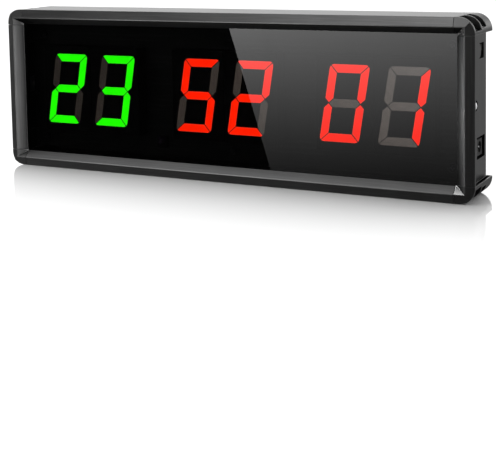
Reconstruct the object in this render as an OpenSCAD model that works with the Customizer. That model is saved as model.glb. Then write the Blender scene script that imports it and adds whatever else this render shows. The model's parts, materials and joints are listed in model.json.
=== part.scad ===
// Round timer: six seven-segment digits behind a smoked lens, in a framed case
// of four extruded rails joined by four ribbed corner pieces.
//
// Every sub-part is drawn in one local frame: X to the right, Y from the front
// ridge of the bezel towards the back, Z up from the middle of the height.
// placed() moves it to the part's own frame, whose origin is the bottom centre
// of the case, with the front facing -Y.

/* [Case] */
// Overall width
case_w = 305; // [304:1:320]
// Overall height
case_h = 100; // [98:1:110]
// Overall depth
case_d = 36; // [36:0.5:42]
// Wall thickness of the top and bottom rails
rail_wall = 1.4; // [1.2:0.1:2]
// Wall thickness of the left and right rails
side_wall = 2.4; // [2.2:0.1:2.6]
// How far the side walls sit in from the bezel's edge
side_recess = 3.5; // [3:0.1:4]

/* [Bezel] */
// Depth of the bezel's outer edge behind the ridge
lip_back = 1.7; // [1:0.1:2.4]
// Depth of the rear face of the side lip behind the ridge
lip_rear = 3.4; // [3.2:0.1:3.8]
// Distance of the ridge from the top and bottom edges
ridge_in = 5; // [4.5:0.1:6]
// Distance of the ridge from the left and right edges
side_ridge_in = 4.8; // [4.5:0.1:6]
// Distance of the lens opening from the top and bottom edges
face_in = 9.2; // [8.8:0.1:9.6]
// Distance of the lens opening from the left and right edges
side_face_in = 10.4; // [10:0.1:10.8]
// Depth of the lens behind the ridge
face_back = 4.3; // [4:0.1:4.6]
// Width of the flat that blunts the ridge
ridge_flat = 0.5; // [0.3:0.1:0.8]

/* [Corners] */
// Radius of the outer corners
corner_r = 9; // [7:0.5:9.5]
// Length of a corner piece along the top and bottom edges
corner_leg_x = 11.3; // [11:0.1:12]
// Length of a corner piece along the sides
corner_leg_z = 9.8; // [9.6:0.1:10]
// Depth of the two slots that run round a corner
slot_deep = 4.4; // [2:0.1:4.4]
// Gap between a rail's end and a corner piece
seam = 0.2; // [0.1:0.05:0.4]

/* [Lens] */
// Thickness of the lens
lens_t = 2; // [1.5:0.1:2.2]
// Thickness of the foam strip behind the lens
gasket_t = 0.8; // [0.5:0.1:1]
// How far the lens reaches under the bezel
lens_grip = 2.2; // [1.5:0.1:2.4]

/* [Digits] */
// The digits shown
shown = [2, 3, 5, 2, 0, 1]; // six digits, each 0 to 7 or 9
// Height of a digit
digit_h = 44; // [40:0.5:46]
// Width of a digit
digit_w = 23.8; // [20:0.1:24]
// Width of a segment's stroke
stroke = 4.7; // [4:0.1:5]
// Gap between neighbouring segments
segment_gap = 0.5; // [0.3:0.1:0.8]
// Lean of the digits to the right, in degrees
slant = 9.3; // [0:0.1:10]
// Spacing of the two digits of a pair
digit_pitch = 35; // [34.8:0.1:36]
// Spacing of the three pairs
pair_pitch = 94; // [92:0.5:95]

/* [Side ports] */
// Height of the power jack's opening above the middle
jack_z = -22.7; // [-24:0.1:-21]
// Depth of the power jack's axis behind the ridge
jack_y = 25.5; // [25.4:0.1:25.8]
// Height of the slide switch above the middle
switch_z = 30.1; // [29:0.1:31]
// Travel of the switch's knob
switch_travel = 3; // [2:0.5:3]
// Height of the side screws above the middle
side_screw_z = 1; // [-2:0.5:3]

/* [Hidden] */
$fn = 64;

// Case
half_w = case_w / 2;
half_h = case_h / 2;
over = 1;                                   // how far a cutting solid runs past a face
seam_x = half_w - corner_leg_x;
seam_z = half_h - corner_leg_z;
side_face = half_w - side_recess;           // outer face of the side walls
cavity_x = side_face - side_wall;
cavity_z = half_h - rail_wall;

// Bezel, as half sizes of the lens opening
open_x = half_w - side_face_in;
open_z = half_h - face_in;
pocket_back = face_back + lens_t + gasket_t;
channel_wall = 1.3;
channel_back = pocket_back + channel_wall;

// Corner slots, as depths behind the ridge and distances from a corner piece's ends
slot_front = lip_rear;
slot_split = 15.4;
slot_rib = 1.5;
slot_rear = 25.2;
slot_end_x = 1.5;
slot_end_z = [1.9, 3];

// Hollow of the ears that stand proud of the side walls
ear_wall = 0.7;
ear_deep = 3;

// Back panel and its ledge
panel_t = 1.6;
panel_inset = 0.8;
panel_y = case_d - panel_inset - panel_t;
ledge_t = 1.2;
ledge_w = 3.5;
panel_gap = 0.15;
panel_r = 6;

// Display stack
module_face = pocket_back + 0.2;
module_t = 10;
module_w = 34.4;
module_h = 54;
segment_t = 5;
board_front = module_face + module_t;
board_t = 1.6;
board_back = board_front + board_t;
board_w = 2 * cavity_x - 3.2;
board_h = 79;

// Fasteners
screw_r = 1.45;
thread_r = 1.5;
clearance_r = 1.7;
head_r = 2.6;
standoff_r = 3.1;
standoff_places = [for (x = [-136, 0, 136], z = [-33.5, 33.5]) [x, z]];
corner_screw_in = [2, 3.3];                 // from the corner piece's two ends
corner_screw_places = [
    for (x = [-1, 1], z = [-1, 1]) [x * (seam_x + corner_screw_in.x), z * (seam_z + corner_screw_in.y)]
];
side_screw_y = 16.2;
side_screw_head_r = 2.3;
counterbore_r = 3.1;
counterbore_t = 1.4;

// Hanging keyholes in the back panel
keyhole_x = 100;
keyhole_z = 16;
keyhole_entry_r = 4;
keyhole_slot_r = 2.1;
keyhole_rise = 8;

// Digits
digit_x = [for (pair = [-1, 0, 1], side = [-1, 1]) pair * pair_pitch + side * digit_pitch / 2];
digit_round = 2.6;
pin_side = 0.5;
pins_in_row = 5;
pin_pitch = 2.54 * 2;
pin_row_z = 24.5;
pin_tail = 2.2;

// Parts on the back of the board, as places across and up from the middle
buzzer_place = [-60, 0];
cell_place = [-40, -8];
cell_r = 6.25;
cell_t = 2;
cell_seat = board_back + 0.8;

// Which of the segments a to g each numeral lights
LIT = [
    [1, 1, 1, 1, 1, 1, 0],
    [0, 1, 1, 0, 0, 0, 0],
    [1, 1, 0, 1, 1, 0, 1],
    [1, 1, 1, 1, 0, 0, 1],
    [0, 1, 1, 0, 0, 1, 1],
    [1, 0, 1, 1, 0, 1, 1],
    [1, 0, 1, 1, 1, 1, 1],
    [1, 1, 1, 0, 0, 0, 0],
    [1, 1, 1, 1, 1, 1, 1],
    [1, 1, 1, 1, 0, 1, 1]
];

// Power jack
jack_w = 9;
jack_h = 11;
jack_face = side_face - 0.7;
jack_len = 14;
jack_back = jack_face - jack_len;
jack_mouth_r = 3.15;
jack_deep = 9.5;
jack_pin_r = 1.05;
jack_root_r = 1.25;
jack_open_z = 12;
jack_open_y = 15;
spring_t = 0.35;
spring_w = 3;
spring_len = 9;
spring_bite = 0.3;                          // how far the leaf stands into the mouth
spring_root_x = jack_face - jack_deep - 1;
spring_z = jack_z - jack_mouth_r + spring_bite - spring_t;
curl_r = 0.4;                               // rolled root that the leaf turns about

// Slide switch
switch_y = 26.6;
switch_open_z = 8.6;
switch_open_y = 9.6;
switch_scallop_r = 4.4;
switch_scallop_in = 3.8;
switch_body_w = 6;
switch_body_z = 13;
switch_body_y = 8.6;
switch_wall = 1.2;
switch_front_x = cavity_x - 0.1;
switch_back_x = switch_front_x - switch_body_w;
knob_z = 3.2;
knob_w = 3.6;
knob_y = switch_y + 1.6;                    // clear of the opening's bowed edge
knob_in = 0.7;                              // how far the knob's end sits inside the side wall's face
knob_gap = 0.1;
knob_slot_z = knob_z + switch_travel + 2 * knob_gap;
knob_rest_z = switch_z + switch_travel / 2; // the knob rests at the top of its travel

// ---------------------------------------------------------------- helpers

module placed() {
    translate([0, -case_d / 2, half_h]) children();
}

// A box given by its lowest and highest corners
module box(low, high) {
    translate(low) cube(high - low);
}

// Extrusions of a flat outline along one axis
module along_x(x0, x1) {
    translate([x0, 0, 0]) rotate([90, 0, 90]) linear_extrude(x1 - x0) children();
}

module along_y(y0, y1) {
    translate([0, y1, 0]) rotate([90, 0, 0]) linear_extrude(y1 - y0) children();
}

module along_z(z0, z1) {
    translate([0, 0, z0]) linear_extrude(z1 - z0) children();
}

// A round bar or bore along Y, from y0 to y1
module rod_y(place, y0, y1, r, r_end = 0) {
    translate([place.x, y1, place.y])
        rotate([90, 0, 0]) cylinder(h = y1 - y0, r1 = r_end == 0 ? r : r_end, r2 = r);
}

// A round bar or bore along X, centred at y and z
module rod_x(x0, x1, y, z, r) {
    translate([x0, y, z]) rotate([0, 90, 0]) cylinder(h = x1 - x0, r = r);
}

module rounded_rect(w, h, r) {
    union() {
        square([w - 2 * r, h], center = true);
        square([w, h - 2 * r], center = true);
        for (x = [-1, 1], y = [-1, 1])
            translate([x * (w / 2 - r), y * (h / 2 - r)]) circle(r);
    }
}

function swapped(points) = [for (p = points) [p.y, p.x]];

// ---------------------------------------------------------------- case

// Outline of the bezel's outer slopes and the case behind them, as [depth, height]
function slope_outline(half, ridge) = [
    [lip_back, half], [0, half - ridge], [0, ridge - half],
    [lip_back, -half], [case_d, -half], [case_d, half]
];

// Outline of the recess that the inner slopes make in front of the lens
function funnel_outline(half, ridge, opening) =
    let (top = half - ridge - ridge_flat, run = (top - opening) / face_back)
    [
        [-over, top + run * over], [-over, -top - run * over],
        [face_back, -opening], [face_back, opening]
    ];

module case_blank() {
    intersection() {
        along_x(-half_w, half_w) polygon(slope_outline(half_h, ridge_in));
        along_z(-half_h, half_h) polygon(swapped(slope_outline(half_w, side_ridge_in)));
        along_y(0, case_d) rounded_rect(case_w, case_h, corner_r);
    }
}

module funnel() {
    intersection() {
        along_x(-half_w, half_w) polygon(funnel_outline(half_h, ridge_in, open_z));
        along_z(-half_h, half_h) polygon(swapped(funnel_outline(half_w, side_ridge_in, open_x)));
    }
}

// The lens opening, the channel that holds the lens, and the panel's pocket
module front_and_back_cuts() {
    funnel();
    along_y(face_back - 0.01, channel_back + over) square([2 * open_x, 2 * open_z], center = true);
    along_y(face_back, pocket_back)
        square([2 * (open_x + lens_grip) + 0.2, 2 * (open_z + lens_grip) + 0.2], center = true);
    along_y(panel_y, case_d + over) rounded_rect(2 * cavity_x, 2 * cavity_z, panel_r);
}

module rail_cavity() {
    along_y(channel_back, panel_y - ledge_t) square([2 * cavity_x, 2 * cavity_z], center = true);
    along_y(panel_y - ledge_t - over, panel_y + over)
        square([2 * (cavity_x - ledge_w), 2 * (cavity_z - ledge_w)], center = true);
    along_y(panel_y, case_d + over) square([2 * cavity_x, 2 * cavity_z], center = true);
}

module rail(low, high) {
    difference() {
        intersection() {
            case_blank();
            box(low, high);
        }
        front_and_back_cuts();
        rail_cavity();
    }
}

module long_rail(side) {
    end_x = seam_x - seam / 2;
    inner = open_z - over;
    rail([-end_x, 0, side > 0 ? inner : -half_h], [end_x, case_d, side > 0 ? half_h : -inner]);
}

module side_rail(side) {
    end_z = seam_z - seam / 2;
    inner = open_x - over;
    outer = half_w + over;
    difference() {
        rail([side > 0 ? inner : -half_w, 0, -end_z], [side > 0 ? half_w : -inner, case_d, end_z]);
        box(
            [side > 0 ? side_face : -outer, lip_rear, -half_h],
            [side > 0 ? outer : -side_face, case_d + over, half_h]
        );
        side_screw_hole(side);
    }
}

module side_screw_hole(side) {
    mirror([side > 0 ? 0 : 1, 0, 0]) {
        rod_x(cavity_x - over, side_face + over, side_screw_y, side_screw_z, clearance_r);
        rod_x(side_face - counterbore_t, side_face + over, side_screw_y, side_screw_z, counterbore_r);
    }
}

module jack_opening() {
    box(
        [cavity_x - over, jack_y - jack_open_y / 2, jack_z - jack_open_z / 2],
        [side_face + over, jack_y + jack_open_y / 2, jack_z + jack_open_z / 2]
    );
}

// The switch's opening has a front edge that bows into it
module switch_opening() {
    front = switch_y - switch_open_y / 2;
    difference() {
        box(
            [cavity_x - over, front, switch_z - switch_open_z / 2],
            [side_face + over, front + switch_open_y, switch_z + switch_open_z / 2]
        );
        rod_x(
            cavity_x - 2 * over, side_face + 2 * over,
            front + switch_scallop_in - switch_scallop_r, switch_z, switch_scallop_r
        );
    }
}

module top_rail() {
    color("#8c8d8f") placed() long_rail(1);
}

module bottom_rail() {
    color("#58595b") placed() long_rail(-1);
}

module left_rail() {
    color("#5f6062") placed() side_rail(-1);
}

module right_rail() {
    color("#5f6062") placed() difference() {
        side_rail(1);
        jack_opening();
        switch_opening();
    }
}

// ---------------------------------------------------------------- corner pieces

// One slot that runs round the upper right corner, between two depths
module corner_slot(y0, y1, end_z) {
    intersection() {
        along_y(y0, y1) difference() {
            square([case_w + 2 * over, case_h + 2 * over], center = true);
            rounded_rect(case_w - 2 * slot_deep, case_h - 2 * slot_deep, corner_r - slot_deep);
        }
        box([seam_x + slot_end_x, 0, seam_z + end_z], [case_w, case_d, case_h]);
    }
}

// The ear's hollow: it opens on the ear's end, meets the front slot, and goes deeper behind the slots
module ear_hollow() {
    x0 = side_face + ear_wall;
    x1 = half_w - ear_wall;
    front = slot_front + ear_wall;
    rear = slot_rear + ear_wall;
    box([x0, front, seam_z - over], [x1, rear, seam_z + slot_end_z[0] + 0.1]);
    box([x0, rear, seam_z - over], [x1, case_d - ear_wall, seam_z + ear_deep]);
}

// Legs that plug into the ends of the two rails
module corner_legs() {
    leg_t = 3;
    leg_gap = 0.1;
    top_reach = 17;
    side_reach = 12;
    y0 = channel_back + 0.4;
    box(
        [seam_x - top_reach, y0, cavity_z - leg_gap - leg_t],
        [seam_x + 2, panel_y - ledge_t - leg_gap, cavity_z - leg_gap]
    );
    box(
        [cavity_x - leg_gap - leg_t, y0, seam_z - side_reach],
        [cavity_x - leg_gap, board_front - 1, seam_z + 2]
    );
}

// The upper right corner piece; the others are its mirror images
module corner_piece() {
    difference() {
        union() {
            intersection() {
                case_blank();
                box([seam_x + seam / 2, 0, seam_z + seam / 2], [half_w, case_d, half_h]);
            }
            corner_legs();
        }
        front_and_back_cuts();
        corner_slot(slot_front, slot_split, slot_end_z[0]);
        corner_slot(slot_split + slot_rib, slot_rear, slot_end_z[1]);
        ear_hollow();
        rod_y(corner_screw_places[3], panel_y - 12, panel_y + over, thread_r);
    }
}

module corner_top_right() {
    color("#48494b") placed() corner_piece();
}

module corner_top_left() {
    color("#48494b") placed() mirror([1, 0, 0]) corner_piece();
}

module corner_bottom_right() {
    color("#48494b") placed() mirror([0, 0, 1]) corner_piece();
}

module corner_bottom_left() {
    color("#48494b") placed() mirror([0, 0, 1]) mirror([1, 0, 0]) corner_piece();
}

// ---------------------------------------------------------------- lens

module front_lens() {
    color("#101113", 0.6) placed()
        along_y(face_back, face_back + lens_t)
            square([2 * (open_x + lens_grip), 2 * (open_z + lens_grip)], center = true);
}

module lens_gasket() {
    color("#1c1c1c") placed()
        along_y(face_back + lens_t, pocket_back) difference() {
            square([2 * (open_x + lens_grip), 2 * (open_z + lens_grip)], center = true);
            square([2 * open_x, 2 * open_z], center = true);
        }
}

// ---------------------------------------------------------------- back panel

module keyhole() {
    circle(keyhole_entry_r);
    translate([0, keyhole_rise]) circle(keyhole_slot_r);
    translate([-keyhole_slot_r, 0]) square([2 * keyhole_slot_r, keyhole_rise]);
}

module sound_holes() {
    for (column = [-2:2], row = [-1:1])
        translate([column * 5, row * 5]) circle(1.2);
}

module countersink(place) {
    rod_y(place, panel_y - over, case_d, clearance_r);
    rod_y(place, panel_y + 0.4, panel_y + panel_t + 0.01, clearance_r, head_r + 0.1);
}

module back_panel() {
    color("#2b2c2e") placed() difference() {
        along_y(panel_y, panel_y + panel_t) difference() {
            rounded_rect(2 * (cavity_x - panel_gap), 2 * (cavity_z - panel_gap), panel_r);
            for (x = [-1, 1]) translate([x * keyhole_x, keyhole_z]) keyhole();
            translate(buzzer_place) sound_holes();
        }
        for (place = concat(corner_screw_places, standoff_places)) countersink(place);
    }
}

// Cross recess in a screw head whose outer face is at y, facing +Y
module cross_recess(place, y) {
    for (turn = [0, 90])
        translate([place.x, y, place.y]) rotate([0, turn, 0]) cube([2.6, 1.4, 0.6], center = true);
}

module countersunk_screw(place, length) {
    face = panel_y + panel_t - 0.05;
    difference() {
        union() {
            rod_y(place, face - length, face, screw_r);
            rod_y(place, panel_y + 0.45, face, screw_r, head_r);
        }
        cross_recess(place, face);
    }
}

module panel_screws() {
    color("#9a9c9f") placed() {
        for (place = corner_screw_places) countersunk_screw(place, 10);
        for (place = standoff_places) countersunk_screw(place, 7);
    }
}

// ---------------------------------------------------------------- board and its fixings

module pin_places() {
    for (x = digit_x, row = [-1, 1], i = [0 : pins_in_row - 1])
        translate([x + (i - (pins_in_row - 1) / 2) * pin_pitch, 0, row * pin_row_z]) children();
}

module display_board() {
    color("#0f0f11") placed() difference() {
        along_y(board_front, board_back) difference() {
            square([board_w, board_h], center = true);
            for (place = standoff_places) translate(place) circle(clearance_r);
        }
        pin_places()
            translate([0, board_front + board_t / 2, 0])
                cube([pin_side + 0.2, board_t + over, pin_side + 0.2], center = true);
    }
}

module board_standoffs() {
    color("#b59a4e") placed()
        along_y(board_back, panel_y)
            for (place = standoff_places) translate(place) difference() {
                circle(standoff_r, $fn = 6);
                circle(thread_r);
            }
}

module board_screws() {
    head_t = 1.8;
    color("#222326") placed() for (place = standoff_places) difference() {
        union() {
            rod_y(place, board_front, board_back + 5, screw_r);
            rod_y(place, board_front - head_t, board_front, head_r);
        }
        cross_recess(place, board_front - head_t);
    }
}

// Angle brackets that tie the board's ends to the side walls
module side_brackets() {
    bracket_t = 1.4;
    half = 5;
    foot = 11;
    front = side_screw_y - 4;
    color("#a9abad") placed() for (side = [0, 1]) mirror([side, 0, 0]) difference() {
        union() {
            box([cavity_x - bracket_t, front, side_screw_z - half],
                [cavity_x, board_back + bracket_t, side_screw_z + half]);
            box([cavity_x - foot, board_back, side_screw_z - half],
                [cavity_x, board_back + bracket_t, side_screw_z + half]);
        }
        rod_x(cavity_x - foot, cavity_x + over, side_screw_y, side_screw_z, thread_r);
    }
}

// Domed screws whose heads stand a little proud of the side walls
module side_screws() {
    seat = side_face - counterbore_t;
    rim_t = 0.9;
    rim_x = seat + rim_t;
    half = 3;
    dome_t = 0.9;
    dome_top = rim_x + dome_t;
    dome_r = (pow(side_screw_head_r, 2) + pow(dome_t, 2)) / (2 * dome_t);
    recess = [0.9, 1.6, 0.35];
    color("#d9dadb") placed() for (side = [0, 1]) mirror([side, 0, 0]) difference() {
        union() {
            rod_x(cavity_x - 1.35, seat, side_screw_y, side_screw_z, screw_r);
            rod_x(seat, rim_x, side_screw_y, side_screw_z, side_screw_head_r);
            intersection() {
                translate([dome_top - dome_r, side_screw_y, side_screw_z]) sphere(dome_r);
                box([rim_x, side_screw_y - half, side_screw_z - half],
                    [dome_top + over, side_screw_y + half, side_screw_z + half]);
            }
        }
        for (turn = [0, 90])
            translate([dome_top, side_screw_y, side_screw_z]) rotate([turn, 0, 0])
                cube(recess, center = true);
    }
}

// ---------------------------------------------------------------- digits

function slanted(points) = [for (p = points) [p.x + p.y * tan(slant), p.y]];

// Points of an arc, from one angle to another
function arc(centre, r, from, to, steps = 6) =
    [for (i = [0:steps]) let (a = from + (to - from) * i / steps) centre + r * [cos(a), sin(a)]];

function digit_outline() =
    let (x = digit_w / 2 - digit_round, y = digit_h / 2 - digit_round)
    concat(
        arc([x, y], digit_round, 0, 90), arc([-x, y], digit_round, 90, 180),
        arc([-x, -y], digit_round, 180, 270), arc([x, -y], digit_round, 270, 360)
    );

// Mitred outlines of the bars, before the digit's outer corners are rounded off
function end_bar() =
    let (x = digit_w / 2, y = digit_h / 2, s = segment_gap * sqrt(0.5), t = stroke)
    [[-x + s, y], [x - s, y], [x - t - s, y - t], [-x + t + s, y - t]];

function middle_bar() =
    let (x = digit_w / 2 - stroke, s = segment_gap * sqrt(0.5), t = stroke / 2)
    [[-x - t + s, 0], [-x + s, t], [x - s, t], [x + t - s, 0], [x - s, -t], [-x + s, -t]];

function upright_bar() =
    let (x = digit_w / 2, y = digit_h / 2, s = segment_gap * sqrt(0.5), t = stroke)
    [[x, y - s], [x, t / 2 + s], [x - t / 2, s], [x - t, t / 2 + s], [x - t, y - t - s]];

function flipped(points, sx, sy) = [for (p = points) [p.x * sx, p.y * sy]];

SEGMENTS = [
    end_bar(), upright_bar(), flipped(upright_bar(), 1, -1), flipped(end_bar(), 1, -1),
    flipped(upright_bar(), -1, -1), flipped(upright_bar(), -1, 1), middle_bar()
];

// The segments of one digit place whose state is the one asked for
module segments(place, states) {
    for (i = [0 : len(SEGMENTS) - 1])
        if (states[i])
            translate([digit_x[place], 0]) intersection() {
                polygon(slanted(SEGMENTS[i]));
                polygon(slanted(digit_outline()));
            }
}

function all_states() = [for (s = SEGMENTS) 1];
function lit_states(place) = LIT[shown[place]];
function unlit_states(place) = [for (s = lit_states(place)) 1 - s];

module digit_housing(place) {
    color("#0c0c0d") placed() difference() {
        along_y(module_face, module_face + module_t)
            translate([digit_x[place], 0]) square([module_w, module_h], center = true);
        along_y(module_face - over, module_face + segment_t) segments(place, all_states());
    }
}

module digit_segments(place, states) {
    placed() along_y(module_face, module_face + segment_t) segments(place, states);
}

module digit_lit(place) {
    color(place < 2 ? "#1eff00" : "#ff1900") digit_segments(place, lit_states(place));
}

module digit_unlit(place) {
    color("#3a3634") digit_segments(place, unlit_states(place));
}

module digit_pins() {
    color("#c9cacc") placed() pin_places()
        translate([-pin_side / 2, board_front, -pin_side / 2])
            cube([pin_side, board_t + pin_tail, pin_side]);
}

// ---------------------------------------------------------------- parts on the board

// A chip lying on the back of the board, with a row of leads along each long side
module chip(place, length, width, height, leads) {
    stand = 0.2;
    lead_w = 0.4;
    lead_t = 0.2;
    reach = 1.3;
    pitch = length / leads;
    union() {
        box([place.x - length / 2, board_back + stand, place.y - width / 2],
            [place.x + length / 2, board_back + stand + height, place.y + width / 2]);
        for (i = [0 : leads - 1], side = [-1, 1])
            translate([place.x + (i - (leads - 1) / 2) * pitch, board_back, place.y + side * width / 2])
                lead(side, lead_w, lead_t, reach, stand + height / 2);
    }
}

module lead(side, w, t, reach, rise) {
    mirror([0, 0, side > 0 ? 0 : 1]) {
        box([-w / 2, rise - t, -t], [w / 2, rise, reach / 2]);
        box([-w / 2, 0, reach / 2 - t], [w / 2, rise, reach / 2]);
        box([-w / 2, 0, reach / 2 - t], [w / 2, t, reach]);
    }
}

module microcontroller() {
    color("#1b1b1d") placed() chip([30, -12], 13, 7.5, 2.3, 10);
}

module driver_chips() {
    color("#1b1b1d") placed() for (x = [-94, 2, 90]) chip([x, 12], 18, 7.5, 2.3, 14);
}

module clock_chip() {
    color("#1b1b1d") placed() chip([-18, -14], 5, 4, 1.6, 4);
}

module voltage_regulator() {
    color("#1b1b1d") placed() chip([112, -8], 6.5, 3.6, 1.8, 3);
}

module crystal() {
    can_r = 1;
    can_len = 6;
    wire_r = 0.2;
    wire_len = 2.5;
    x = -10;
    z = -20;
    y = board_back + can_r;
    color("#c5c7c9") placed() {
        rod_x(x, x + can_len, y, z, can_r);
        for (side = [-1, 1])
            rod_x(x + can_len, x + can_len + wire_len, y, z + side * 2 * wire_r, wire_r);
    }
}

// A row of four chip resistors behind each digit
module resistors() {
    pitch = 3.2;
    color("#26272a") placed()
        for (x = digit_x, i = [0:3])
            translate([x + (i - 1.5) * pitch, board_back, 0]) cube([1.2, 0.5, 2]);
}

module cell_holder() {
    rim = 1.2;
    gap = 0.2;
    notch = 3;
    top = cell_seat + cell_t;
    color("#202124") placed() difference() {
        rod_y(cell_place, board_back, top, cell_r + gap + rim);
        rod_y(cell_place, cell_seat, top + over, cell_r + gap);
        box([cell_place.x - notch, cell_seat, cell_place.y - 10],
            [cell_place.x + notch, top + over, cell_place.y]);
    }
}

// A stepped button cell: the narrow pole, the can, and the can's rounded edge
module coin_cell() {
    pole_t = 0.3;
    edge_t = 0.4;
    edge_in = 0.3;
    top = cell_seat + cell_t;
    color("#c8cacb") placed() {
        rod_y(cell_place, cell_seat, cell_seat + pole_t, cell_r - 1);
        rod_y(cell_place, cell_seat + pole_t, top - edge_t, cell_r);
        rod_y(cell_place, top - edge_t, top, cell_r - edge_in);
    }
}

module buzzer() {
    can_r = 6;
    can_h = 9;
    hole_r = 1.3;
    hole_deep = 3;
    color("#141415") placed() difference() {
        rod_y(buzzer_place, board_back, board_back + can_h, can_r);
        rod_y(buzzer_place, board_back + can_h - hole_deep, board_back + can_h + over, hole_r);
    }
}

module capacitors() {
    can_r = 4;
    can_h = 9;
    vent_t = 0.3;
    sleeve_lap = 1.2;
    color("#3a3f52") placed() for (place = [[116, 14], [100, -18]]) {
        rod_y(place, board_back, board_back + can_h, can_r);
        rod_y(place, board_back + can_h, board_back + can_h + vent_t, can_r - sleeve_lap);
    }
}

module ir_receiver() {
    place = [-47, -31];
    body = [6, 4, 7];
    lens_r = 2.2;
    front = board_front - body.y;
    color("#17171b") placed() {
        box([place.x - body.x / 2, front, place.y - body.z / 2],
            [place.x + body.x / 2, board_front, place.y + body.z / 2]);
        intersection() {
            translate([place.x, front, place.y]) sphere(lens_r);
            box([place.x - 3, front - 3, place.y - 3], [place.x + 3, front, place.y + 3]);
        }
    }
}

// ---------------------------------------------------------------- power jack

module jack_housing() {
    gap = 0.5;
    color("#111112") placed() difference() {
        box([jack_back, board_back, jack_z - jack_w / 2],
            [jack_face, board_back + jack_h, jack_z + jack_w / 2]);
        rod_x(jack_face - jack_deep, jack_face + over, jack_y, jack_z, jack_mouth_r);
        rod_x(jack_back - over, jack_face, jack_y, jack_z, jack_root_r + 0.02);
        box([spring_root_x - gap, jack_y - spring_w / 2 - gap, jack_z - jack_w / 2 - over],
            [spring_root_x + spring_len + gap, jack_y + spring_w / 2 + gap, jack_z - 1.5]);
    }
}

// A thicker root held by the housing, then the free pin that enters a plug
module jack_pin() {
    tip = 0.6;
    shoulder = jack_face - jack_deep + 0.3;
    end = jack_face - 0.3;
    color("#d6d7d8") placed() {
        rod_x(jack_back - 0.8, shoulder, jack_y, jack_z, jack_root_r);
        rod_x(shoulder, end - tip, jack_y, jack_z, jack_pin_r);
        translate([end - tip, jack_y, jack_z]) rotate([0, 90, 0])
            cylinder(h = tip, r1 = jack_pin_r, r2 = jack_pin_r / 2);
    }
}

// The sleeve contact: a leaf that swings out of the way of a plug
module jack_spring() {
    color("#c2a24e") placed() {
        box([spring_root_x, jack_y - spring_w / 2, spring_z],
            [spring_root_x + spring_len, jack_y + spring_w / 2, spring_z + spring_t]);
        along_y(jack_y - spring_w / 2, jack_y + spring_w / 2)
            translate([spring_root_x, spring_z + spring_t / 2]) circle(curl_r);
    }
}

// ---------------------------------------------------------------- slide switch

module switch_body() {
    color("#8e9092") placed() difference() {
        box([switch_back_x, switch_y - switch_body_y / 2, switch_z - switch_body_z / 2],
            [switch_front_x, switch_y + switch_body_y / 2, switch_z + switch_body_z / 2]);
        box([switch_back_x + switch_wall, knob_y - knob_w / 2 - knob_gap, switch_z - knob_slot_z / 2],
            [switch_front_x + over, knob_y + knob_w / 2 + knob_gap, switch_z + knob_slot_z / 2]);
    }
}

module switch_terminals() {
    pitch = 3;
    pin_w = 0.8;
    pin_t = 0.5;
    x = switch_back_x + 1;
    color("#c9cacc") placed() for (i = [-1, 0, 1])
        box([x, board_back, switch_z + i * pitch - pin_w / 2],
            [x + pin_t, switch_y - switch_body_y / 2, switch_z + i * pitch + pin_w / 2]);
}

module switch_knob() {
    back = switch_back_x + switch_wall + knob_gap;
    end = side_face - knob_in;
    groove_pitch = 1;
    groove_w = 0.4;
    groove_deep = 0.3;
    color("#151516") placed() difference() {
        box([back, knob_y - knob_w / 2, knob_rest_z - knob_z / 2],
            [end, knob_y + knob_w / 2, knob_rest_z + knob_z / 2]);
        for (i = [-1, 0, 1])
            translate([end, knob_y, knob_rest_z + i * groove_pitch])
                cube([2 * groove_deep, knob_w + over, groove_w], center = true);
    }
}

// ---------------------------------------------------------------- nodes

top_rail();
bottom_rail();
left_rail();
right_rail();
corner_top_left();
corner_top_right();
corner_bottom_left();
corner_bottom_right();
front_lens();
lens_gasket();
back_panel();
panel_screws();
display_board();
board_standoffs();
board_screws();
side_brackets();
side_screws();
digit_housing(0);  // digit_1_housing
digit_housing(1);  // digit_2_housing
digit_housing(2);  // digit_3_housing
digit_housing(3);  // digit_4_housing
digit_housing(4);  // digit_5_housing
digit_housing(5);  // digit_6_housing
digit_lit(0);  // digit_1_lit
digit_lit(1);  // digit_2_lit
digit_lit(2);  // digit_3_lit
digit_lit(3);  // digit_4_lit
digit_lit(4);  // digit_5_lit
digit_lit(5);  // digit_6_lit
digit_unlit(0);  // digit_1_unlit
digit_unlit(1);  // digit_2_unlit
digit_unlit(2);  // digit_3_unlit
digit_unlit(3);  // digit_4_unlit
digit_unlit(4);  // digit_5_unlit
digit_unlit(5);  // digit_6_unlit
digit_pins();
ir_receiver();
microcontroller();
driver_chips();
clock_chip();
crystal();
cell_holder();
coin_cell();
buzzer();
capacitors();
voltage_regulator();
resistors();
jack_housing();
jack_pin();
jack_spring();
switch_body();
switch_terminals();
switch_knob();
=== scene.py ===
"""Looks for the gym round timer: materials, edge finish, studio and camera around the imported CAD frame.

The CAD nodes keep their shapes. This script rounds their edges with modifiers, gives every material slot of
the record a procedural material, and sets up a white studio whose reflections draw the case and the lens.
"""

import json
import math

import bpy
from mathutils import Matrix, Vector


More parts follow.
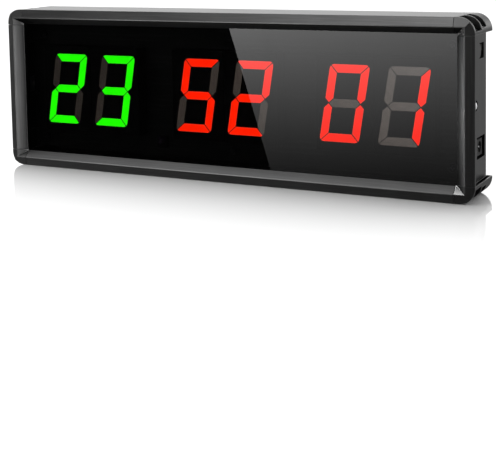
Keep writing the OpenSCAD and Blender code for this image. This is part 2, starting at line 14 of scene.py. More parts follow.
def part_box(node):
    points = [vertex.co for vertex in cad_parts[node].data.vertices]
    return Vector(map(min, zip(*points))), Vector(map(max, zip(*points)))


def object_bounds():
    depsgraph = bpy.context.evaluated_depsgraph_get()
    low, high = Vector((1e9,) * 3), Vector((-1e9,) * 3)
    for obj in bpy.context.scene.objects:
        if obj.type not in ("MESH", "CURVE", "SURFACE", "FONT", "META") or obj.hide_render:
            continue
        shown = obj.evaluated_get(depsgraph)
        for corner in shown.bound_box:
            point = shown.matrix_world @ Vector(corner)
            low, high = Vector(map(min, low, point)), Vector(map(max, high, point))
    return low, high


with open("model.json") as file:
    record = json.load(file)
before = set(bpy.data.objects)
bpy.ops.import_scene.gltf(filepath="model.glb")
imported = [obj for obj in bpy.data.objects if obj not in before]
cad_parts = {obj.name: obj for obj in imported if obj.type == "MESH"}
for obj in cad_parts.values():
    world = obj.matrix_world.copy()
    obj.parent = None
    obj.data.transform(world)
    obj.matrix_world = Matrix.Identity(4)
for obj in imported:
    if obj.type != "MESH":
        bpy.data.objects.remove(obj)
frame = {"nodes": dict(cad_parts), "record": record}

CAD_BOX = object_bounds()
LOW, HIGH = CAD_BOX
SIZE = HIGH - LOW
CENTRE = (LOW + HIGH) / 2
MM = 0.001

LENS_LOW, LENS_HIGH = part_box("front_lens")
LENS_FACE = LENS_LOW.y

# Camera: where it stands around the case's middle, in degrees and in case widths
CAMERA_AZIMUTH = 27.02
CAMERA_ELEVATION = 5.20
CAMERA_ROLL = -1.01
CAMERA_DISTANCE = 2.2745
CAMERA_SIDESTEP = 0.031
CAMERA_RISE = 0.1068
FOCAL_LENGTH = 84.4
SENSOR_WIDTH = 36.0
FRAME_SHIFT = -0.383            # how far the frame slides down the image plane, in frame widths
NEAR_CLIP = 0.01
FAR_CLIP = 100.0

# Outer pieces, by where they are
RAILS = ("top_rail", "bottom_rail", "left_rail", "right_rail")
CORNERS = ("corner_top_left", "corner_top_right", "corner_bottom_left", "corner_bottom_right")
RIGHT_END = ("right_rail", "corner_top_right", "corner_bottom_right")
LEFT_END = ("left_rail", "corner_top_left", "corner_bottom_left")
FRAME_PIECES = ("top_rail", "bottom_rail") + LEFT_END + RIGHT_END
UNLIT_DIGITS = tuple(f"digit_{place}_unlit" for place in range(1, 7))

# Radius put on the sharp edges of each outer piece
EDGE_ROUNDING = {
    **dict.fromkeys(RAILS, 0.15 * MM),
    **dict.fromkeys(CORNERS, 0.25 * MM),
    "back_panel": 0.15 * MM,
    "switch_knob": 0.12 * MM,
}
WELD_GAP = 0.002 * MM           # mesh corners closer than this are joined before the rounding
FLAT_TURN = 0.5                 # faces that turn less than this become one, in degrees
ROUND_TURN = 20                 # edges that turn more than this are rounded, in degrees
CRISP_TURN = 18                 # edges that turn more than this afterwards are not shaded smooth
ROUND_STEPS = 2                 # strips of faces that make up a rounding

# Corner pieces: where their ribs begin behind the case's front, and where the painted highlight on the rib
# edges is full
RIBS_BEGIN = LOW.y + 2.4 * MM
RIB_HIGHLIGHT_FULL = LOW.y + 3.2 * MM

# Studio
DIFFUSE_LIGHT = 1.25            # brightness of the white room for matt surfaces
BAND_LIGHT = 1.0                # bright wall that reflections see just above the horizon
BAND_FOOT = (-0.02, 0.06)       # heights over which the wall fades in, where 1 is straight up
BAND_TOP = (0.33, 0.2)          # heights at which it has faded out and is still full
CEILING_LIGHT = 0.06
PIT_LIGHT = 0.004               # what reflections see below the horizon
HORIZON = (-0.05, 0.1)          # heights over which the pit turns into the ceiling
KEY_AIM = (-30, 48)             # the key light's azimuth and elevation
KEY_DISTANCE = 4.0              # in case widths, as are its sizes
KEY_WIDTH = 3.0
KEY_HEIGHT = 2.0
KEY_ENERGY = 4.0

# Floor
FLOOR_REACH = 40                # half its side, in case widths
FLOOR_DROP = 0.1 * MM           # gap under the case, so that the two faces don't share a plane
FLOOR_MIRROR = 0.6              # share of the floor's look that is reflection, at the case's foot
FLOOR_FADE = 0.17               # distance over which it drops to about a third, in case widths
FLOOR_TONE = 244
FLOOR_BLUR = 0.06               # roughness of its reflection

# Lens and the card that it mirrors
LENS_TINT = 0.32                # share of light that one pass through the lens keeps
COAT_INDEX = 2.0                # refractive index of the lens's gloss coat
GLOW = 1.1 / LENS_TINT          # strength of the lit segments, so that they read full behind the tint
CARD_LIGHT = 9.0                # brightness of the card where its shade is 1
CARD_GAMMA = 2.2                # turns its shade, as seen on screen, into light
CARD_DISTANCE = 4               # from the lens, in case widths
CARD_EDGE_TOP = 0.037           # where its left edge crosses the lens's top edge, in half lens widths
CARD_EDGE_BOTTOM = 0.223        # and the lens's bottom edge
CARD_RIGHT = 1.1                # how far it reaches past the lens, in half lens widths
CARD_RISE = 1.05                # and in half lens heights
CARD_SHADES = (0.135, 0.45)     # its shade at the foot and at the top
CARD_TILT = 0.085               # how much the shade's height drops towards the right
CARD_RIGHT_SHADE = 0.88         # its right edge's shade against its left edge's


# ---------------------------------------------------------------- node graphs

class Graph:
    """A node tree under construction: each call adds one node and links what is passed in."""

    def __init__(self, tree):
        self.tree = tree
        tree.nodes.clear()

    def node(self, kind, inputs=None, **settings):
        node = self.tree.nodes.new("ShaderNode" + kind)
        for key, value in settings.items():
            setattr(node, key, value)
        for key, value in (inputs or {}).items():
            if isinstance(value, bpy.types.NodeSocket):
                self.tree.links.new(value, node.inputs[key])
            else:
                node.inputs[key].default_value = value
        return node

    def math(self, operation, a, b=0.0, clamp=False):
        return self.node("Math", {0: a, 1: b}, operation=operation, use_clamp=clamp).outputs[0]

    def remap(self, value, low, high, to_low=0.0, to_high=1.0, kind="SMOOTHSTEP"):
        inputs = {"Value": value, "From Min": low, "From Max": high, "To Min": to_low, "To Max": to_high}
        return self.node("MapRange", inputs, interpolation_type=kind).outputs[0]

    def mix(self, factor, a, b):
        """A colour between a and b."""
        node = self.node("Mix", {0: factor, 6: a, 7: b}, data_type="RGBA")
        return node.outputs[2]

    def multiply(self, colour, factor):
        node = self.node("VectorMath", {0: colour, "Scale": factor}, operation="SCALE")
        return node.outputs[0]

    def place(self):
        """Position in the part's frame, in metres, which moves with the piece."""
        return self.node("TexCoord").outputs["Object"]

    def stretch(self, vector, scale):
        return self.node("VectorMath", {0: vector, 1: scale}, operation="MULTIPLY").outputs[0]

    def noise(self, vector, size, detail=3.0, roughness=0.5):
        """Noise whose features are about size metres across."""
        inputs = {"Vector": vector, "Scale": 1 / size, "Detail": detail, "Roughness": roughness}
        return self.node("TexNoise", inputs).outputs["Fac"]

    def cells(self, vector, size, feature="F1"):
        inputs = {"Vector": vector, "Scale": 1 / size}
        return self.node("TexVoronoi", inputs, feature=feature).outputs["Distance"]

    def bump(self, height, depth, strength=1.0, normal=None):
        inputs = {"Height": height, "Distance": depth, "Strength": strength}
        if normal is not None:
            inputs["Normal"] = normal
        return self.node("Bump", inputs).outputs[0]

    def edge(self, width):
        """1 on sharp edges, 0 on flats; materials lighten these edges for wear and for painted highlights.
        """
        soft = self.node("Bevel", {"Radius": width}, samples=4).outputs[0]
        flat = self.node("NewGeometry").outputs["Normal"]
        turn = self.node("VectorMath", {0: soft, 1: flat}, operation="DOT_PRODUCT").outputs["Value"]
        return self.remap(turn, 0.995, 0.9)

    def painted_inner_shade(self, front, back, least):
        """Painted shade: 1, but on faces that lean in towards the middle it falls to least from front to
        back.
        """
        place = self.place()
        facing = self.node("TexCoord").outputs["Normal"]
        out = self.node("VectorMath", {0: place, 1: CENTRE}, operation="SUBTRACT").outputs[0]
        flat_out = self.stretch(out, (1.0, 0.0, 1.0))
        lean = self.node("VectorMath", {0: facing, 1: flat_out}, operation="DOT_PRODUCT").outputs["Value"]
        inward = self.math("LESS_THAN", lean, -0.1 * MM)
        depth = self.node("SeparateXYZ", {0: place}).outputs["Y"]
        fall = self.remap(depth, front, back, 0.0, 1.0 - least, kind="LINEAR")
        return self.math("SUBTRACT", 1.0, self.math("MULTIPLY", inward, fall))

    def principled(self, **inputs):
        named = {key.replace("_", " "): value for key, value in inputs.items()}
        return self.node("BsdfPrincipled", named).outputs[0]

    def surface(self, shader):
        self.node("OutputMaterial", {"Surface": shader})


def material(name):
    made = bpy.data.materials.new(name)
    made.use_nodes = True
    return made, Graph(made.node_tree)


def colour(red, green, blue):
    """A colour given as 0 to 255 on screen, as the linear values that nodes use."""
    def linear(value):
        share = value / 255
        return share / 12.92 if share <= 0.04045 else ((share + 0.055) / 1.055) ** 2.4
    return (linear(red), linear(green), linear(blue), 1.0)


def grey(level):
    return colour(level, level, level)


# ---------------------------------------------------------------- case materials

def anodised(name, along, shade):
    """Dark satin aluminium with extrusion lines along one axis (0 is X, 2 is Z).

    The slopes that face the lens darken towards it as painted shade, down to shade times their tone.
    """
    made, g = material(name)
    place = g.place()
    across = [1.0, 1.0, 1.0]
    across[along] = 0.012
    lines = g.noise(g.stretch(place, across), 0.35 * MM, detail=4.0, roughness=0.7)
    coarse = g.noise(g.stretch(place, across), 0.8 * MM, detail=2.0)
    patches = g.noise(place, 28 * MM, detail=2.0)
    wear_and_highlight_edges = g.edge(0.35 * MM)
    tone = g.mix(g.remap(lines, 0.3, 0.7), grey(98), grey(116))
    tone = g.mix(g.remap(patches, 0.35, 0.65, 0.0, 0.25), tone, grey(88))
    # painted shade: the slopes that face the lens get darker towards it
    tone = g.multiply(tone, g.painted_inner_shade(LOW.y, LENS_FACE, shade))
    # lighter edges: partly wear, partly a painted highlight along the ridges
    tone = g.mix(g.math("MULTIPLY", wear_and_highlight_edges, 0.5), tone, grey(160))
    gloss = g.remap(coarse, 0.25, 0.75, 0.29, 0.35)
    normal = g.bump(lines, 0.012 * MM, 0.5)
    g.surface(g.principled(Base_Color=tone, Metallic=1.0, Roughness=gloss, Normal=normal))
    return made


def moulded(name, tone, grain, depth, gloss, shine=0.5):
    """Moulded plastic with a spark-eroded grain, uneven gloss and edges made slightly lighter by a painted
    highlight.
    """
    made, g = material(name)
    place = g.place()
    fine = g.cells(place, grain)
    broad = g.noise(place, 14 * MM, detail=3.0)
    base = g.mix(g.remap(broad, 0.3, 0.7), grey(tone), grey(tone * 1.18))
    # painted highlight: edges lighter than the flats
    base = g.mix(g.math("MULTIPLY", g.edge(0.3 * MM), 0.6), base, grey(tone * 1.8))
    rough = g.remap(g.math("ADD", g.math("MULTIPLY", broad, 0.7), g.math("MULTIPLY", fine, 0.3)),
                    0.2, 0.8, gloss - 0.06, gloss + 0.08)
    normal = g.bump(fine, depth, 0.6)
    g.surface(g.principled(Base_Color=base, Roughness=rough, Normal=normal, Specular_IOR_Level=shine))
    return made


def ribbed(name):
    """Satin metallic finish without the rails' lines, for the corner pieces.

    Their slots are darkened by painted shade, and their ribs' edges carry a pale painted highlight.
    """
    made, g = material(name)
    place = g.place()
    flakes = g.cells(place, 0.3 * MM)
    broad = g.noise(place, 14 * MM, detail=3.0)
    tone = g.mix(g.remap(broad, 0.3, 0.7), grey(94), grey(106))
    tone = g.mix(g.remap(flakes, 0.0, 0.5, 0.0, 0.3), tone, grey(88))
    # painted shade: the slopes that face the lens get darker towards it
    tone = g.multiply(tone, g.painted_inner_shade(LOW.y, LENS_FACE, 0.3))
    # painted shade: the colour darkens where the piece hides itself, so the slots go dark
    occlusion = g.node("AmbientOcclusion", {"Distance": 5 * MM}, samples=8, only_local=True).outputs["AO"]
    tone = g.multiply(tone, g.remap(occlusion, 0.4, 0.95))
    depth = g.node("SeparateXYZ", {0: place}).outputs["Y"]
    on_ribs = g.remap(depth, RIBS_BEGIN, RIB_HIGHLIGHT_FULL, 0.1, 0.9)
    # painted highlight: the rib edges turn pale behind the case's front
    painted_rib_highlight = g.math("MULTIPLY", g.edge(0.45 * MM), on_ribs)
    tone = g.mix(painted_rib_highlight, tone, grey(200))
    rough = g.remap(g.math("ADD", g.math("MULTIPLY", broad, 0.7), g.math("MULTIPLY", flakes, 0.3)),
                    0.2, 0.8, 0.3, 0.38)
    normal = g.bump(flakes, 0.015 * MM, 0.5)
    g.surface(g.principled(Base_Color=tone, Metallic=1.0, Roughness=rough, Normal=normal))
    return made


def leathered(name, tone):
    """Panel plastic with a leather-like moulded skin: small cells split by fine valleys."""
    made, g = material(name)
    place = g.place()
    warp = g.noise(place, 2 * MM, detail=2.0)
    push = g.stretch(warp, (0.6 * MM, 0.6 * MM, 0.6 * MM))
    shifted = g.node("VectorMath", {0: place, 1: push}, operation="ADD").outputs[0]
    valleys = g.remap(g.cells(shifted, 1.1 * MM, feature="DISTANCE_TO_EDGE"), 0.0, 0.18)
    base = g.mix(valleys, grey(tone * 0.7), grey(tone))
    base = g.mix(g.math("MULTIPLY", g.edge(0.3 * MM), 0.5), base, grey(tone * 1.7))
    rough = g.remap(valleys, 0.0, 1.0, 0.7, 0.48)
    normal = g.bump(valleys, 0.08 * MM, 0.7)
    g.surface(g.principled(Base_Color=base, Roughness=rough, Normal=normal))
    return made


def plated(name, tint, gloss, along=None, metal=1.0):
    """Plated or turned metal: fine tool lines, handling marks and brighter edges."""
    made, g = material(name)
    place = g.place()
    scale = [1.0, 1.0, 1.0]
    if along is not None:
        scale[along] = 0.05
    lines = g.noise(g.stretch(place, scale), 0.25 * MM, detail=3.0)
    marks = g.noise(place, 1.8 * MM, detail=4.0, roughness=0.6)
    dull = tuple(0.72 * value for value in tint[:3]) + (1.0,)
    tone = g.mix(g.remap(marks, 0.35, 0.65), dull, tint)
    tone = g.mix(g.math("MULTIPLY", g.edge(0.15 * MM), 0.5), tone, (0.95, 0.95, 0.95, 1.0))
    rough = g.remap(marks, 0.3, 0.7, gloss * 0.8, gloss * 1.35)
    normal = g.bump(lines, 0.01 * MM, 0.5)
    g.surface(g.principled(Base_Color=tone, Metallic=metal, Roughness=rough, Normal=normal))
    return made


# ---------------------------------------------------------------- lens and foam

def smoked(name):
    """Smoked acrylic with a hard gloss coat: dark but clear, a trace of waviness, and faint wipe marks.

    The tint and the mirror both sit on the face where light enters the sheet, so each acts once.
    """
    made, g = material(name)
    place = g.place()
    wave = g.noise(place, 60 * MM, detail=0.0)
    normal = g.bump(wave, 0.05 * MM, 0.3)
    wipes = g.remap(g.noise(g.stretch(place, (1.0, 1.0, 0.4)), 18 * MM, detail=4.0), 0.45, 0.75, 1.0, 0.96)
    entering = g.math("SUBTRACT", 1.0, g.node("NewGeometry").outputs["Backfacing"])
    tint = g.mix(entering, grey(255), (LENS_TINT, LENS_TINT, LENS_TINT, 1.0))
    clear = g.node("BsdfTransparent", {"Color": tint}).outputs[0]
    mirror = g.node("BsdfGlossy", {"Roughness": 0.0, "Normal": normal}).outputs[0]
    coat = g.math("MULTIPLY", g.node("Fresnel", {"IOR": COAT_INDEX}).outputs[0], wipes)
    share = g.math("MULTIPLY", coat, entering)
    g.surface(g.node("MixShader", {0: share, 1: clear, 2: mirror}).outputs[0])
    return made


def foamed(name):
    made, g = material(name)
    place = g.place()
    pores = g.remap(g.cells(place, 0.35 * MM), 0.1, 0.6)
    tone = g.mix(pores, grey(12), grey(34))
    g.surface(g.principled(Base_Color=tone, Roughness=0.95, Normal=g.bump(pores, 0.15 * MM, 0.8)))
    return made


# ---------------------------------------------------------------- digit materials

def lit(name, core, rim):
    """A lit segment: an even glow, a touch paler along its edges, with the diffuser's faint speckle.

    Only the camera sees the glow, so it puts no colour on what stands around it.
    """
    made, g = material(name)
    place = g.place()
    speckle = g.noise(place, 0.4 * MM, detail=2.0)
    drift = g.noise(place, 9 * MM, detail=1.0)
    edge = g.edge(0.7 * MM)
    glow = g.mix(edge, core, rim)
    level = g.math("ADD", g.remap(speckle, 0.3, 0.7, 0.96, 1.04), g.remap(drift, 0.3, 0.7, -0.05, 0.05))
    seen = g.node("LightPath").outputs["Is Camera Ray"]
    strength = g.math("MULTIPLY", g.math("MULTIPLY", level, seen), GLOW)
    light = g.node("Emission", {"Color": glow, "Strength": strength}).outputs[0]
    skin = g.node("BsdfGlossy", {"Color": grey(60), "Roughness": 0.35}).outputs[0]
    g.surface(g.node("AddShader", {0: light, 1: skin}).outputs[0])
    return made


def unlit(name):
    """An unlit segment: milky grey diffuser with a fine mottle and shallow moulding speckle."""
    made, g = material(name)
    place = g.place()
    mottle = g.noise(place, 3 * MM, detail=4.0, roughness=0.6)
    speckle = g.noise(place, 0.3 * MM, detail=2.0)
    tone = g.mix(g.remap(mottle, 0.3, 0.7), colour(84, 75, 68), colour(94, 84, 77))
    tone = g.mix(g.math("MULTIPLY", g.edge(0.4 * MM), 0.5), tone, colour(110, 99, 91))
    normal = g.bump(speckle, 0.02 * MM, 0.5)
    g.surface(g.principled(Base_Color=tone, Roughness=0.5, Normal=normal))
    return made


# ---------------------------------------------------------------- electronics materials

def masked_board(name):
    """Black solder mask over copper tracks that run along the board, with a weave of glass cloth."""
    made, g = material(name)
    place = g.place()
    weave_x = g.node("TexWave", {"Vector": place, "Scale": 900.0}, bands_direction="X").outputs["Fac"]
    weave_z = g.node("TexWave", {"Vector": place, "Scale": 900.0}, bands_direction="Z").outputs["Fac"]
    weave = g.math("MULTIPLY", weave_x, weave_z)
    rows = g.node("TexWave", {"Vector": place, "Scale": 95.0, "Distortion": 1.5, "Detail": 0.0},
                  bands_direction="Z").outputs["Fac"]
    gate = g.remap(g.noise(g.stretch(place, (0.15, 1.0, 1.0)), 9 * MM, detail=0.0), 0.5, 0.52)
    tracks = g.math("MULTIPLY", g.remap(rows, 0.72, 0.78), gate)
    tone = g.mix(weave, grey(14), grey(20))
    tone = g.mix(tracks, tone, grey(34))
    normal = g.bump(tracks, 0.035 * MM, 0.8)
    rough = g.remap(weave, 0.0, 1.0, 0.35, 0.5)
    g.surface(g.principled(Base_Color=tone, Roughness=rough, Normal=normal))
    return made


def epoxy(name):
    """Dark infrared-passing epoxy: glossy, faintly purple, with flow marks."""
    made, g = material(name)
    place = g.place()
    flow = g.noise(g.stretch(place, (1.0, 1.0, 0.3)), 1.5 * MM, detail=3.0)
    tone = g.mix(flow, colour(22, 14, 26), colour(38, 24, 44))
    normal = g.bump(flow, 0.03 * MM, 0.4)
    g.surface(g.principled(Base_Color=tone, Roughness=g.remap(flow, 0.3, 0.7, 0.12, 0.24), Normal=normal))
    return made


def sleeved(name):
    """Capacitor sleeve: dark blue film with a grey polarity stripe, open over a bare aluminium top."""
    made, g = material(name)
    low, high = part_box("capacitors")
    place = g.place()
    depth = g.node("SeparateXYZ", {0: place}).outputs["Y"]
    top = g.remap(depth, high.y - 0.5 * MM, high.y - 0.4 * MM)
    wrinkle = g.noise(g.stretch(place, (1.0, 0.3, 1.0)), 1.2 * MM, detail=3.0)
    film = g.mix(g.remap(wrinkle, 0.3, 0.7), colour(36, 42, 66), colour(50, 58, 88))
    tone = g.mix(top, film, grey(205))
    rough = g.remap(wrinkle, 0.2, 0.8, 0.22, 0.4)
    normal = g.bump(wrinkle, 0.04 * MM, 0.5)
    g.surface(g.principled(Base_Color=tone, Metallic=top, Roughness=rough, Normal=normal))
    return made


def packaged(name):
    """Moulded chip bodies whose leads, close to the board, are tinned."""
    made, g = material(name)
    place = g.place()
    board_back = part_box("display_board")[1].y
    body_low = board_back + 0.2 * MM
    depth = g.node("SeparateXYZ", {0: place}).outputs["Y"]
    fine = g.noise(place, 0.12 * MM, detail=2.0)
    lead = g.remap(depth, body_low, body_low - 0.05 * MM)
    tone = g.mix(g.remap(fine, 0.3, 0.7), grey(26), grey(40))
    tone = g.mix(lead, tone, grey(200))
    normal = g.bump(fine, 0.015 * MM, 0.6)
    rough = g.remap(fine, 0.3, 0.7, 0.5, 0.7)
    g.surface(g.principled(Base_Color=tone, Metallic=lead, Roughness=rough, Normal=normal))
    return made


# ---------------------------------------------------------------- material for each slot of the record

MATERIALS = {
    "dark_aluminium": anodised("dark_aluminium", along=0, shade=0.75),
    "side_aluminium": anodised("side_aluminium", along=2, shade=0.08),
    "corner_plastic": ribbed("corner_plastic"),
    "smoked_lens": smoked("smoked_lens"),
    "foam": foamed("foam"),
    "panel_plastic": leathered("panel_plastic", 48),
    "black_screw": plated("black_screw", (0.05, 0.05, 0.055, 1.0), 0.4),
    "zinc_screw": plated("zinc_screw", (0.62, 0.62, 0.66, 1.0), 0.3),
    "bright_screw": plated("bright_screw", (0.98, 0.98, 0.98, 1.0), 0.3, metal=0.25),
    "circuit_board": masked_board("circuit_board"),
    "brass_standoff": plated("brass_standoff", (0.72, 0.5, 0.2, 1.0), 0.28, along=1),
    "steel_bracket": plated("steel_bracket", (0.56, 0.57, 0.6, 1.0), 0.36, along=0),
    "module_black": moulded("module_black", 10, 0.2 * MM, 0.01 * MM, 0.7, shine=0.15),
    "green_segment": lit("green_segment", (0.012, 1.0, 0.0, 1.0), (0.05, 1.05, 0.02, 1.0)),
    "red_segment": lit("red_segment", (1.0, 0.012, 0.0, 1.0), (1.0, 0.05, 0.02, 1.0)),
    "grey_segment": unlit("grey_segment"),
    "tinned_pin": plated("tinned_pin", (0.78, 0.78, 0.8, 1.0), 0.3, along=1),
    "ir_epoxy": epoxy("ir_epoxy"),
    "chip_black": packaged("chip_black"),
    "crystal_can": plated("crystal_can", (0.75, 0.76, 0.78, 1.0), 0.22, along=0),
    "holder_black": moulded("holder_black", 34, 0.25 * MM, 0.015 * MM, 0.5),
    "cell_steel": plated("cell_steel", (0.72, 0.72, 0.72, 1.0), 0.24),
    "buzzer_black": moulded("buzzer_black", 28, 0.25 * MM, 0.015 * MM, 0.45),
    "capacitor_sleeve": sleeved("capacitor_sleeve"),
    "jack_black": moulded("jack_black", 26, 0.25 * MM, 0.015 * MM, 0.42),
    "jack_contact": plated("jack_contact", (0.85, 0.85, 0.86, 1.0), 0.18, along=0),
    "spring_bronze": plated("spring_bronze", (0.76, 0.55, 0.28, 1.0), 0.3, along=0),
    "switch_frame": plated("switch_frame", (0.55, 0.55, 0.57, 1.0), 0.36, along=2),
    "knob_black": moulded("knob_black", 30, 0.2 * MM, 0.012 * MM, 0.42),
}


def dress(nodes):
    """Gives every CAD node the material of its slot."""
    for part in frame["record"]["subparts"]:
        mesh = nodes[part["node"]].data
        mesh.materials.clear()
        mesh.materials.append(MATERIALS[part["material_slot"]])


def round_edges(nodes):
    """Breaks the sharp edges of the pieces that are seen from outside."""
    for name, width in EDGE_ROUNDING.items():
        modifiers = nodes[name].modifiers
        modifiers.new("weld", "WELD").merge_threshold = WELD_GAP
        flats = modifiers.new("flats", "DECIMATE")
        flats.decimate_type = "DISSOLVE"
        flats.angle_limit = math.radians(FLAT_TURN)
        bevel = modifiers.new("bevel", "BEVEL")
        bevel.width = width
        bevel.segments = ROUND_STEPS
        bevel.angle_limit = math.radians(ROUND_TURN)
        crisp = modifiers.new("crisp", "EDGE_SPLIT")
        crisp.split_angle = math.radians(CRISP_TURN)
        crisp.use_edge_sharp = False
        modifiers.new("even", "WEIGHTED_NORMAL").weight = 100


# ---------------------------------------------------------------- studio

def toward(azimuth, elevation):
    """Unit vector out from the case: azimuth 0 is the front and 90 the right side."""
    a = math.radians(azimuth)
    e = math.radians(elevation)
    return Vector((math.sin(a) * math.cos(e), -math.cos(a) * math.cos(e), math.sin(e)))


# Soft patches of light that reflections see: azimuth, elevation, half width in degrees, brightness.
# Flags are dark patches that hold the light around them back.
SOFT_BOXES = {
    "front_top": (-4, 36, 28, 2.0),
    "back_band": (-153, 5, 45, 0.4),
    "left_top": (-55, 60, 26, 1.4),
    "left_low": (-104, -8, 18, 0.9),
    "left_foot": (-68, -26, 14, 1.1),
    "right_flag": (20, 8, 26, -0.55),
    "left_flag": (-50, 22, 20, -0.6),
    "back_low": (160, -10, 30, 0.24),
    "right_side": (92, -10, 30, 0.4),
    "left_side": (-136, -12, 28, 0.35),
    "over_back": (180, 58, 34, 0.4),
    "under_left": (-45, -42, 26, 0.15),
    "pit_left": (-112, -60, 36, 0.13),
}


def studio_light():
    """A white room: even for matt surfaces, with shaped soft boxes for reflections."""
    world = bpy.data.worlds.new("studio")
    bpy.context.scene.world = world
    world.use_nodes = True
    world.cycles.sampling_method = "NONE"
    g = Graph(world.node_tree)
    way = g.node("TexCoord").outputs["Generated"]
    height = g.node("SeparateXYZ", {0: way}).outputs["Z"]
    wall = g.math("MULTIPLY", g.remap(height, *BAND_FOOT), g.remap(height, *BAND_TOP))
    level = g.remap(height, *HORIZON, PIT_LIGHT, CEILING_LIGHT)
    level = g.math("ADD", level, g.math("MULTIPLY", wall, BAND_LIGHT))
    for azimuth, elevation, spread, strength in SOFT_BOXES.values():
        aim = toward(azimuth, elevation)
        close = g.node("VectorMath", {0: way, 1: aim}, operation="DOT_PRODUCT").outputs["Value"]
        patch = g.remap(close, math.cos(math.radians(spread)), 1.0, 0.0, strength)
        level = g.math("MAXIMUM", g.math("ADD", level, patch), 0.0)
    path = g.node("LightPath").outputs
    level = g.mix(path["Is Diffuse Ray"], level, grey(255))
    power = g.remap(path["Is Diffuse Ray"], 0.0, 1.0, 1.0, DIFFUSE_LIGHT, kind="LINEAR")
    power = g.remap(path["Is Camera Ray"], 0.0, 1.0, power, 1.0, kind="LINEAR")
    level = g.mix(path["Is Camera Ray"], level, grey(255))
    sky = g.node("Background", {"Color": level, "Strength": power}).outputs[0]
    g.node("OutputWorld", {"Surface": sky})


def hang_lamp(name, aim, distance, energy, width, height=None):
    """An area lamp aimed at the case's middle: a disk, or a rectangle if it is given a height.

    Its distance and its sizes are in case widths. The camera doesn't see it.
    """
    lamp = bpy.data.lights.new(name, "AREA")
    lamp.shape = "DISK" if height is None else "RECTANGLE"
    lamp.size = width * SIZE.x
    if height is not None:
        lamp.size_y = height * SIZE.x
    lamp.energy = energy
    light = bpy.data.objects.new(name, lamp)
    bpy.context.scene.collection.objects.link(light)
    way = toward(*aim)
    light.location = CENTRE + way * distance * SIZE.x
    light.rotation_euler = way.to_track_quat("Z", "Y").to_euler()
    light.visible_camera = False
    return light


def key_light():
    """A broad soft light from high in front and left, which mirrors don't see."""
    light = hang_lamp("key", KEY_AIM, KEY_DISTANCE, KEY_ENERGY, KEY_WIDTH, KEY_HEIGHT)
    light.visible_glossy = False


def light_only(source, pieces):
    """Limits a lamp or a glowing card to the given pieces."""
    receivers = bpy.data.collections.new(source.name)
    for piece in pieces:
        receivers.objects.link(piece)
    source.light_linking.receiver_collection = receivers


# Lamps for some pieces only: azimuth, elevation, distance and width in case widths, energy, the pieces.
# Their levels go together: adding or removing one of these lamps also shifts what the others do.
LINKED_LAMPS = {
    "rake": (-86, -9, 3.0, 0.5, 3.2, RIGHT_END),
    "left_slope": (46, -8, 3.0, 1.3, 1.9, LEFT_END),
    "ridge_line": (-28, -8, 3.0, 1.6, 1.3, FRAME_PIECES),
    "glint": (-75, 73, 3.0, 0.6, 3.8, ("corner_bottom_right",)),
    "digit_glow": (35, 0, 0.65, 0.3, 1.6, UNLIT_DIGITS),
}


def linked_lamps(nodes):
    """Hangs the lamps that light some pieces only."""
    for name, (azimuth, elevation, distance, width, energy, pieces) in LINKED_LAMPS.items():
        light = hang_lamp(name, (azimuth, elevation), distance, energy, width)
        light_only(light, [nodes[piece] for piece in pieces])


def plane(name, corners):
    """A flat staging face, which is not part of the timer."""
    mesh = bpy.data.meshes.new(name)
    mesh.from_pydata([tuple(corner) for corner in corners], [], [tuple(range(len(corners)))])
    made = bpy.data.objects.new(name, mesh)
    bpy.context.scene.collection.objects.link(made)
    return made


def pale_floor():
    """White floor with a soft sheen round the case's foot that fades with distance."""
    reach = FLOOR_REACH * SIZE.x
    level = LOW.z - FLOOR_DROP
    floor = plane("floor", [(-reach, -reach, level), (reach, -reach, level),
                            (reach, reach, level), (-reach, reach, level)])
    made, g = material("pale_floor")
    split = g.node("SeparateXYZ", {0: g.place()}).outputs
    out_x = g.math("MAXIMUM", g.math("SUBTRACT", g.math("ABSOLUTE", split["X"]), SIZE.x / 2), 0.0)
    out_y = g.math("MAXIMUM", g.math("SUBTRACT", g.math("ABSOLUTE", split["Y"]), SIZE.y / 2), 0.0)
    gap = g.math("SQRT", g.math("ADD", g.math("POWER", out_x, 2.0), g.math("POWER", out_y, 2.0)))
    fade = g.math("EXPONENT", g.math("MULTIPLY", gap, -1 / (FLOOR_FADE * SIZE.x)))
    sheen = g.math("MULTIPLY", fade, FLOOR_MIRROR)
    matt = g.node("BsdfDiffuse", {"Color": grey(FLOOR_TONE)}).outputs[0]
    mirror = g.node("BsdfGlossy", {"Color": grey(255), "Roughness": FLOOR_BLUR}).outputs[0]
    g.surface(g.node("MixShader", {0: sheen, 1: matt, 2: mirror}).outputs[0])
    floor.data.materials.append(made)
    floor.visible_glossy = False


# ---------------------------------------------------------------- camera

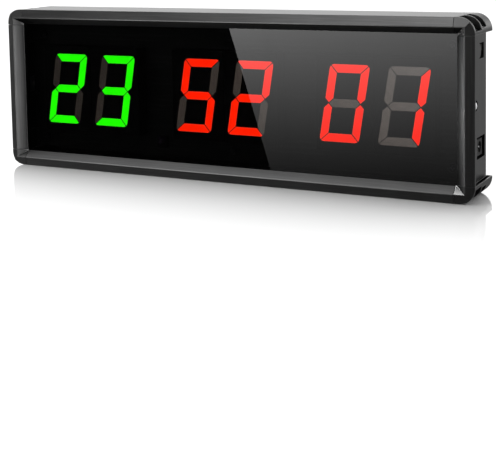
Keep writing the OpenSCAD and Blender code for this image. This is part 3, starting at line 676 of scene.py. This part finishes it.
def place_camera():
    """Stands the camera at its angle round the case, and returns the place where it stands.

    The frame shift only applies from that place, so a camera moved elsewhere looks straight at its aim.
    """
    back = toward(CAMERA_AZIMUTH, CAMERA_ELEVATION)
    level_right = Vector((0, 0, 1)).cross(back).normalized()
    turn = Matrix.Rotation(math.radians(CAMERA_ROLL), 3, back)
    right = turn @ level_right
    up = back.cross(right)
    stand = CENTRE + SIZE.x * (CAMERA_DISTANCE * back + CAMERA_SIDESTEP * right + CAMERA_RISE * up)
    data = bpy.data.cameras.new("camera")
    data.sensor_width = SENSOR_WIDTH
    data.lens = FOCAL_LENGTH
    data.clip_start = NEAR_CLIP
    data.clip_end = FAR_CLIP
    camera = bpy.data.objects.new("camera", data)
    bpy.context.scene.collection.objects.link(camera)
    camera.location = stand
    camera.rotation_euler = Matrix((right, up, back)).transposed().to_euler()
    bpy.context.scene.camera = camera
    shift = data.driver_add("shift_y").driver
    x = shift.variables.new()
    x.name = "x"
    x.targets[0].id = camera
    x.targets[0].data_path = "location.x"
    shift.expression = f"{FRAME_SHIFT} if abs(x - {stand.x:.6f}) < 0.0001 else 0.0"
    return stand


def reflection_card(stand):
    """A graded white card that the lens mirrors over its right part, seen only in reflections.

    The mirrored camera looks through the lens at it: its left edge is drawn by the two ends of the
    slanting edge on the lens, and its other edges lie beyond the lens's own.
    """
    mirrored = Vector((stand.x, 2 * LENS_FACE - stand.y, stand.z))
    wall = LENS_FACE - CARD_DISTANCE * SIZE.x
    lens = LENS_HIGH - LENS_LOW
    middle = (LENS_HIGH + LENS_LOW) / 2

    def seen_at(across, up):
        """The point of the card's wall seen at a place on the lens, in half lens sizes from its middle."""
        on_lens = middle + Vector((across * lens.x / 2, 0, up * lens.z / 2))
        on_lens.y = LENS_FACE
        ray = on_lens - mirrored
        return mirrored + ray * ((wall - mirrored.y) / ray.y)

    card = plane("reflection_card", [seen_at(CARD_EDGE_TOP, 1.0), seen_at(CARD_EDGE_BOTTOM, -1.0),
                                     seen_at(CARD_RIGHT, -CARD_RISE), seen_at(CARD_RIGHT, CARD_RISE)])
    made, g = material("reflection_card")
    span = g.node("SeparateXYZ", {0: g.node("TexCoord").outputs["Generated"]}).outputs
    rise = g.math("SUBTRACT", span["Z"], g.math("MULTIPLY", span["X"], CARD_TILT))
    shade = g.remap(rise, 0.0, 1.0, *CARD_SHADES, kind="LINEAR")
    side = g.remap(span["X"], 0.0, 1.0, 1.0, CARD_RIGHT_SHADE, kind="LINEAR")
    shade = g.math("MULTIPLY", shade, side)
    strength = g.math("MULTIPLY", g.math("POWER", shade, CARD_GAMMA), CARD_LIGHT)
    g.surface(g.node("Emission", {"Strength": strength}).outputs[0])
    card.data.materials.append(made)
    card.visible_camera = False
    card.visible_diffuse = False
    card.visible_shadow = False
    light_only(card, [frame["nodes"]["front_lens"]])


dress(frame["nodes"])
round_edges(frame["nodes"])
bpy.context.scene.view_settings.view_transform = "Standard"
studio_light()
key_light()
linked_lamps(frame["nodes"])
pale_floor()
reflection_card(place_camera())
